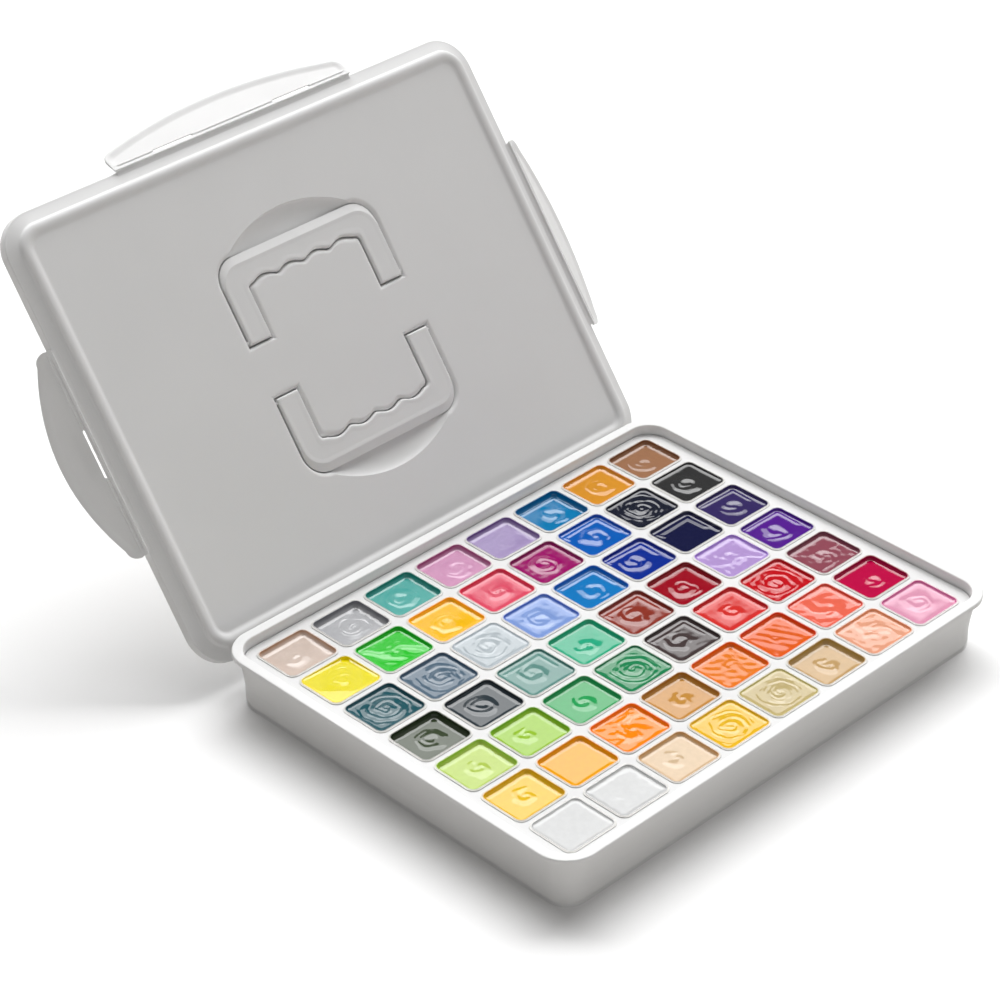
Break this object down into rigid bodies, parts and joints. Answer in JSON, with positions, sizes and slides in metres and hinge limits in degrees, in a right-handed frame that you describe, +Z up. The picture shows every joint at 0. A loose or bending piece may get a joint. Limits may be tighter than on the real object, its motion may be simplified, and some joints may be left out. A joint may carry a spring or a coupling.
{
  "type": "gouache paint set box",
  "caption": "Flat white plastic paint box: a tray of filled gouache cups hung in a rack, and a lift-off lid with fold-down carrying handles and snap latches, leaning open behind it.",
  "frame": {"origin": "middle of the tray's flat underside, on the surface it stands on", "axes": "+X along the tray's long side, +Y back towards the lid that stands open behind the tray, +Z up"},
  "size_m": [0.4346, 0.5099, 0.2707],
  "materials": {
    "tray_shell": "satin white, moulded",
    "cup_rack": "satin white, moulded",
    "lid_shell": "fine satin white, moulded",
    "handle": "satin white, moulded",
    "latch": "satin white, slightly translucent",
    "lid_gasket": "matte soft seal",
    "paint_r1_c1": "wet opaque paint, white and white, in clear cups",
    "paint_r1_c2": "wet opaque paint, cream and yellow, in clear cups",
    "paint_r1_c3": "wet opaque paint, khaki and beige, in clear cups",
    "paint_r1_c4": "wet opaque paint, peach and pink, in clear cups",
    "paint_r2_c1": "wet opaque paint, yellow and amber, in clear cups",
    "paint_r2_c2": "wet opaque paint, orange and tan, in clear cups",
    "paint_r2_c3": "wet opaque paint, orange and scarlet, in clear cups",
    "paint_r2_c4": "wet opaque paint, coral and crimson, in clear cups",
    "paint_r3_c1": "wet opaque paint, lime and lime, in clear cups",
    "paint_r3_c2": "wet opaque paint, emerald and dark green, in clear cups",
    "paint_r3_c3": "wet opaque paint, umber and scarlet, in clear cups",
    "paint_r3_c4": "wet opaque paint, red and mauve, in clear cups",
    "paint_r4_c1": "wet opaque paint, charcoal and charcoal, in clear cups",
    "paint_r4_c2": "wet opaque paint, sea green and mint, in clear cups",
    "paint_r4_c3": "wet opaque paint, maroon and crimson, in clear cups",
    "paint_r4_c4": "wet opaque paint, lilac and violet, in clear cups",
    "paint_r5_c1": "wet opaque paint, deep teal and slate, in clear cups",
    "paint_r5_c2": "wet opaque paint, ice and periwinkle, in clear cups",
    "paint_r5_c3": "wet opaque paint, azure and ultramarine, in clear cups",
    "paint_r5_c4": "wet opaque paint, navy and indigo, in clear cups",
    "paint_r6_c1": "wet opaque paint, lemon and green, in clear cups",
    "paint_r6_c2": "wet opaque paint, gold and rose, in clear cups",
    "paint_r6_c3": "wet opaque paint, magenta and blue, in clear cups",
    "paint_r6_c4": "wet opaque paint, navy and black, in clear cups",
    "paint_r7_c1": "wet opaque paint, sand and silver, in clear cups",
    "paint_r7_c2": "wet opaque paint, teal and orchid, in clear cups",
    "paint_r7_c3": "wet opaque paint, lavender and cerulean, in clear cups",
    "paint_r7_c4": "wet opaque paint, ochre and copper, in clear cups"
  },
  "bodies": {
    "tray": {"tray_shell": "tray_shell", "cup_rack": "cup_rack", "cup_pair_r1_c1": "paint_r1_c1", "cup_pair_r1_c2": "paint_r1_c2", "cup_pair_r1_c3": "paint_r1_c3", "cup_pair_r1_c4": "paint_r1_c4", "cup_pair_r2_c1": "paint_r2_c1", "cup_pair_r2_c2": "paint_r2_c2", "cup_pair_r2_c3": "paint_r2_c3", "cup_pair_r2_c4": "paint_r2_c4", "cup_pair_r3_c1": "paint_r3_c1", "cup_pair_r3_c2": "paint_r3_c2", "cup_pair_r3_c3": "paint_r3_c3", "cup_pair_r3_c4": "paint_r3_c4", "cup_pair_r4_c1": "paint_r4_c1", "cup_pair_r4_c2": "paint_r4_c2", "cup_pair_r4_c3": "paint_r4_c3", "cup_pair_r4_c4": "paint_r4_c4", "cup_pair_r5_c1": "paint_r5_c1", "cup_pair_r5_c2": "paint_r5_c2", "cup_pair_r5_c3": "paint_r5_c3", "cup_pair_r5_c4": "paint_r5_c4", "cup_pair_r6_c1": "paint_r6_c1", "cup_pair_r6_c2": "paint_r6_c2", "cup_pair_r6_c3": "paint_r6_c3", "cup_pair_r6_c4": "paint_r6_c4", "cup_pair_r7_c1": "paint_r7_c1", "cup_pair_r7_c2": "paint_r7_c2", "cup_pair_r7_c3": "paint_r7_c3", "cup_pair_r7_c4": "paint_r7_c4"},
    "lid": {"lid_shell": "lid_shell", "lid_gasket": "lid_gasket"},
    "latch_top": {"latch_top": "latch"},
    "latch_bottom": {"latch_bottom": "latch"},
    "latch_left": {"latch_left": "latch"},
    "latch_right": {"latch_right": "latch"},
    "handle_upper": {"handle_upper": "handle"},
    "handle_lower": {"handle_lower": "handle"}
  },
  "joints": [
    {"name": "lid_lift", "type": "slide", "parent": "tray", "child": "lid", "axis": [0, 0, 1], "range_m": [0, 0.1]},
    {"name": "latch_top_hinge", "type": "hinge", "parent": "lid", "child": "latch_top", "pos_m": [0, 0.33612, 0.26094], "axis": [1, 0, 0], "range_deg": [-56, 60]},
    {"name": "latch_left_hinge", "type": "hinge", "parent": "lid", "child": "latch_left", "pos_m": [-0.1949, 0.24486, 0.13895], "axis": [0, 0.599, 0.8007], "range_deg": [-56, 60]},
    {"name": "latch_right_hinge", "type": "hinge", "parent": "lid", "child": "latch_right", "pos_m": [0.1949, 0.24486, 0.13895], "axis": [0, -0.599, -0.8007], "range_deg": [-56, 60]},
    {"name": "latch_bottom_hinge", "type": "hinge", "parent": "lid", "child": "latch_bottom", "pos_m": [0, 0.1536, 0.01696], "axis": [-1, 0, 0], "range_deg": [0, 70]},
    {"name": "handle_upper_pivot", "type": "hinge", "parent": "lid", "child": "handle_upper", "pos_m": [0, 0.25672, 0.1563], "axis": [1, 0, 0], "range_deg": [0, 100]},
    {"name": "handle_lower_pivot", "type": "hinge", "parent": "lid", "child": "handle_lower", "pos_m": [0, 0.23156, 0.12267], "axis": [-1, 0, 0], "range_deg": [0, 100]}
  ]
}
